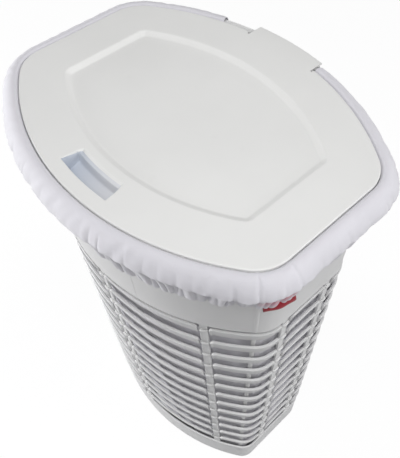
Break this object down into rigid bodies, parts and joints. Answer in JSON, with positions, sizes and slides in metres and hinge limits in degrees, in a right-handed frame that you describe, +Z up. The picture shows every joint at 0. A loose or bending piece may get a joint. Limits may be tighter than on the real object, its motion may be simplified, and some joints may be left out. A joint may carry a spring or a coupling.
{
  "type": "laundry hamper",
  "caption": "Tall tapered laundry hamper with slatted moulded walls, a cloth liner folded over the rim and a hinged lid with a finger recess.",
  "frame": {"origin": "centre of the base's footprint on the floor", "axes": "+Z up, X along the long side, -Y is the front with the finger recess, +Y is the back with the lid hinge"},
  "size_m": [0.449, 0.3523, 0.637],
  "materials": {
    "basket_plastic": "smooth satin white polypropylene",
    "lid_plastic": "smooth satin off-white polypropylene",
    "pin_metal": "drawn wire",
    "liner_cloth": "thin plain-woven white cloth",
    "elastic_cloth": "woven elastic tape",
    "tag_cloth": "red satin ribbon, plain"
  },
  "bodies": {
    "basket": {"base_tray": "basket_plastic", "slat_row_01": "basket_plastic", "slat_row_02": "basket_plastic", "slat_row_03": "basket_plastic", "slat_row_04": "basket_plastic", "slat_row_05": "basket_plastic", "slat_row_06": "basket_plastic", "slat_row_07": "basket_plastic", "slat_row_08": "basket_plastic", "slat_row_09": "basket_plastic", "slat_row_10": "basket_plastic", "slat_row_11": "basket_plastic", "slat_row_12": "basket_plastic", "slat_row_13": "basket_plastic", "front_ribs": "basket_plastic", "back_ribs": "basket_plastic", "left_ribs": "basket_plastic", "right_ribs": "basket_plastic", "front_weave_ties": "basket_plastic", "back_weave_ties": "basket_plastic", "left_weave_ties": "basket_plastic", "right_weave_ties": "basket_plastic", "corner_posts": "basket_plastic", "top_band": "basket_plastic", "rim": "basket_plastic", "hinge_pin": "pin_metal", "hinge_lugs": "basket_plastic", "liner_bag": "liner_cloth", "liner_floor": "liner_cloth", "liner_cuff": "liner_cloth", "cuff_elastic": "elastic_cloth", "label_tag": "tag_cloth"},
    "lid": {"lid": "lid_plastic", "finger_cup": "lid_plastic", "lid_hinge_barrels": "lid_plastic"}
  },
  "joints": [
    {"name": "lid_hinge", "type": "hinge", "parent": "basket", "child": "lid", "pos_m": [0, 0.164, 0.63], "axis": [-1, 0, 0], "range_deg": [0, 100]}
  ]
}
